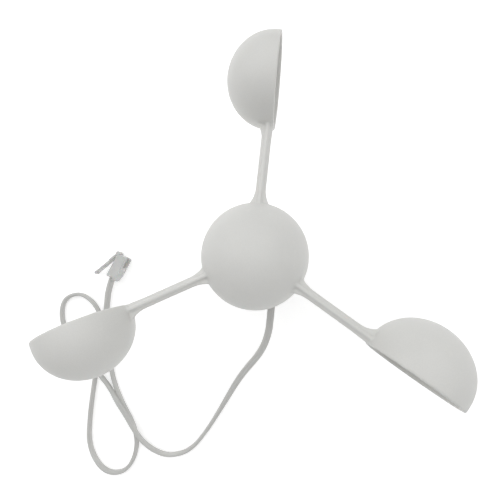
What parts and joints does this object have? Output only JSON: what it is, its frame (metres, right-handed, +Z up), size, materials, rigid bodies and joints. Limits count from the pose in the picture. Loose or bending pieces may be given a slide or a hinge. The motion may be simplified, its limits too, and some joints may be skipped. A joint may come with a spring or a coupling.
{
  "type": "cup anemometer",
  "caption": "Cup anemometer: hemispherical cups on arms turn a domed hub above a slim body with a mast socket below and a signal lead that ends in a modular plug.",
  "frame": {"origin": "centre of the mast socket's mouth, on the rotor's axis, in the face that the sensor stands on", "axes": "+Z up the rotor's axis, +Y along the first cup's arm"},
  "size_m": [0.1895, 0.2072, 0.0746],
  "materials": {
    "white_abs": "satin injection-moulded ABS, off-white",
    "grey_abs": "matt moulded ABS, mid grey",
    "polished_steel": "ground stainless steel",
    "bearing_steel": "polished bearing steel",
    "cage_nylon": "natural nylon",
    "spacer_brass": "turned brass",
    "magnet_nickel": "nickel-plated magnet",
    "screw_steel": "stainless screw, dull",
    "board_laminate": "glass-epoxy laminate, green solder mask",
    "reed_glass": "clear greenish glass",
    "reed_wire": "tinned wire",
    "wire_pvc": "coloured PVC sleeving",
    "black_rubber": "soft black rubber",
    "grey_rubber": "soft off-white PVC",
    "lead_pvc": "flat off-white PVC jacket, satin",
    "clear_polycarbonate": "cloudy clear polycarbonate",
    "gold_contact": "gold-plated contact blades"
  },
  "bodies": {
    "body": {"body_housing": "white_abs", "base_socket": "white_abs", "housing_gasket": "black_rubber", "side_screws": "screw_steel", "board_screws": "screw_steel", "upper_bearing_outer_ring": "bearing_steel", "lower_bearing_outer_ring": "bearing_steel", "reed_board": "board_laminate", "reed_glass": "reed_glass", "reed_leads": "reed_wire", "inner_wires": "wire_pvc", "strain_relief": "grey_rubber", "signal_lead": "lead_pvc", "plug_body": "clear_polycarbonate", "plug_contacts": "gold_contact"},
    "rotor": {"rotor_hub": "white_abs", "cup_arm_1": "white_abs", "cup_arm_2": "white_abs", "cup_arm_3": "white_abs", "rotor_shaft": "polished_steel", "upper_bearing_inner_ring": "bearing_steel", "lower_bearing_inner_ring": "bearing_steel", "bearing_spacer": "spacer_brass", "retaining_clip": "polished_steel", "magnet_holder": "grey_abs", "bar_magnet": "magnet_nickel"},
    "upper_ball_train": {"upper_bearing_balls": "bearing_steel", "upper_bearing_cage": "cage_nylon"},
    "lower_ball_train": {"lower_bearing_balls": "bearing_steel", "lower_bearing_cage": "cage_nylon"},
    "latch": {"plug_latch": "clear_polycarbonate"}
  },
  "joints": [
    {"name": "rotor_spin", "type": "hinge", "parent": "body", "child": "rotor", "pos_m": [0, 0, 0.056], "axis": [0, 0, 1], "continuous": true},
    {"name": "upper_balls_roll", "type": "hinge", "parent": "body", "child": "upper_ball_train", "pos_m": [0, 0, 0.0495], "axis": [0, 0, 1], "continuous": true},
    {"name": "lower_balls_roll", "type": "hinge", "parent": "body", "child": "lower_ball_train", "pos_m": [0, 0, 0.038], "axis": [0, 0, 1], "continuous": true},
    {"name": "latch_press", "type": "hinge", "parent": "body", "child": "latch", "pos_m": [-0.07766, -0.00113, 0.00382], "axis": [0, 0, 1], "range_deg": [0, 16], "stiffness_Nm_per_rad": 0.04}
  ],
  "couplings": [
    {"joint": "upper_balls_roll", "follows": "rotor_spin", "ratio": 0.36364},
    {"joint": "lower_balls_roll", "follows": "rotor_spin", "ratio": 0.36364}
  ]
}
